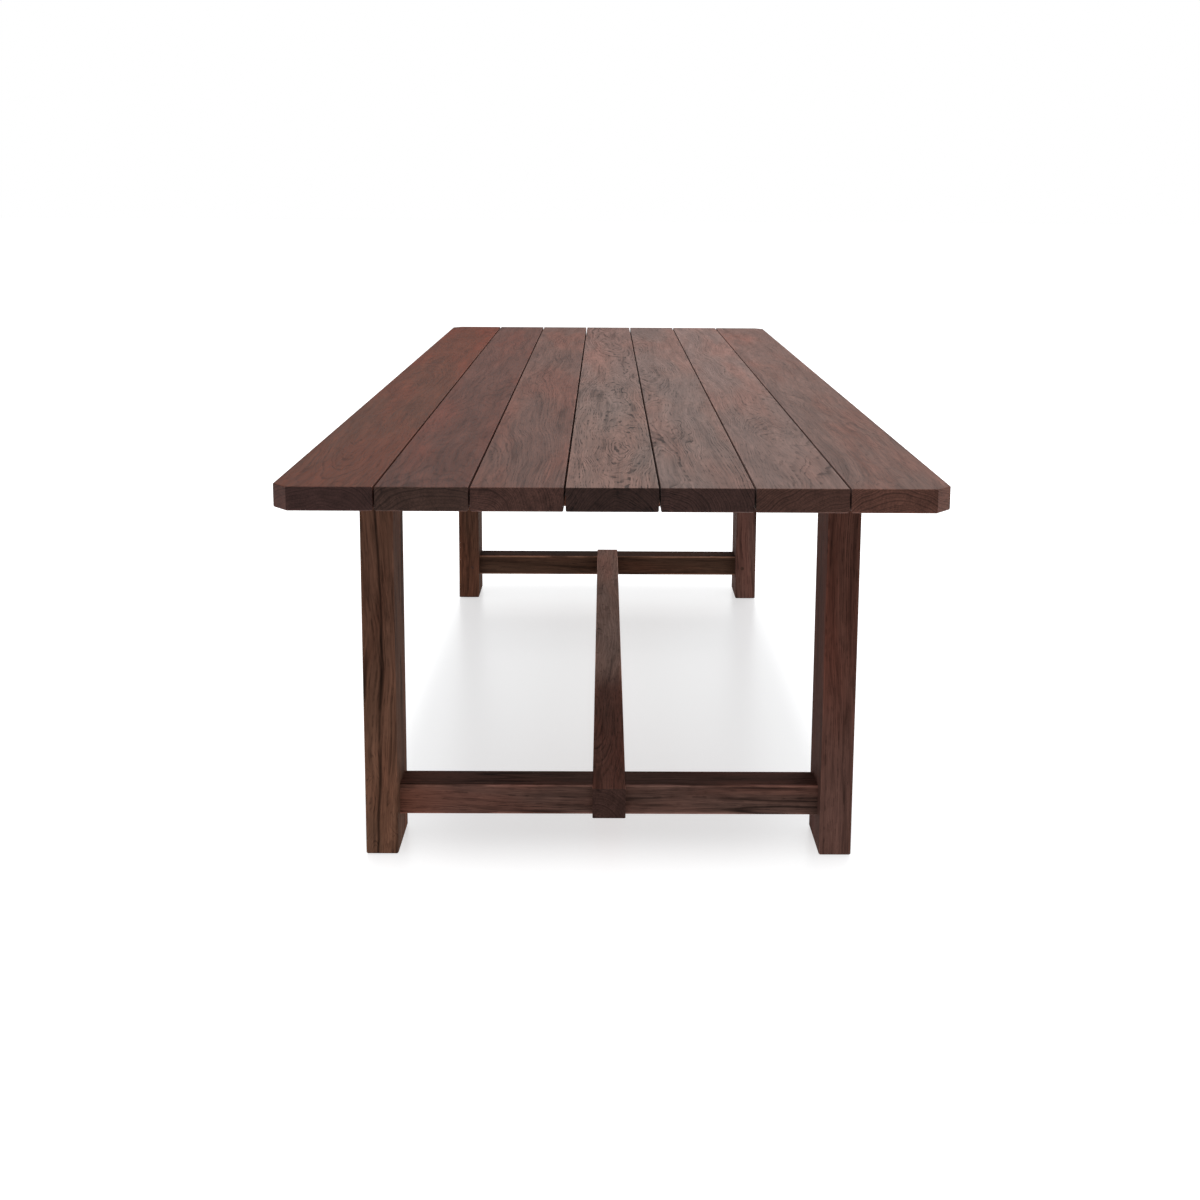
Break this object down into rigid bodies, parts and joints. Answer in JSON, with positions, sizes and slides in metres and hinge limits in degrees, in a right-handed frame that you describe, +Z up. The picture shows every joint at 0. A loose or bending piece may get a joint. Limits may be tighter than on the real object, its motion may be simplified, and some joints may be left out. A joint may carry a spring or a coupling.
{
  "type": "outdoor dining table",
  "caption": "Long rectangular outdoor dining table of solid hardwood: gapped plank top on battens, pegged end frames with flat legs, and a low central stretcher.",
  "frame": {"origin": "on the floor, under the middle of the top", "axes": "+X across the table, +Y along it, away from the end that the picture shows, +Z up"},
  "size_m": [1, 2.4, 0.76],
  "materials": {
    "teak_top": "sanded and oiled planks, reddish brown with grey-brown streaks, satin",
    "teak_frame": "sanded and oiled frame timber, a little darker than the top, satin",
    "stainless_steel": "plain stainless screws, satin",
    "glide_plastic": "dark moulded foot glides, matt"
  },
  "bodies": {
    "root": {"plank_1": "teak_top", "plank_2": "teak_top", "plank_3": "teak_top", "plank_4": "teak_top", "plank_5": "teak_top", "plank_6": "teak_top", "plank_7": "teak_top", "batten_front": "teak_frame", "batten_middle": "teak_frame", "batten_rear": "teak_frame", "leg_front_left": "teak_frame", "leg_front_right": "teak_frame", "leg_rear_left": "teak_frame", "leg_rear_right": "teak_frame", "lower_rail_front": "teak_frame", "lower_rail_rear": "teak_frame", "upper_rail_front": "teak_frame", "upper_rail_rear": "teak_frame", "stretcher": "teak_frame", "tenon_pegs": "teak_frame", "leg_dowels": "teak_frame", "plank_screws": "stainless_steel", "stretcher_screws": "stainless_steel", "glide_front_left": "glide_plastic", "glide_front_right": "glide_plastic", "glide_rear_left": "glide_plastic", "glide_rear_right": "glide_plastic"}
  },
  "joints": []
}
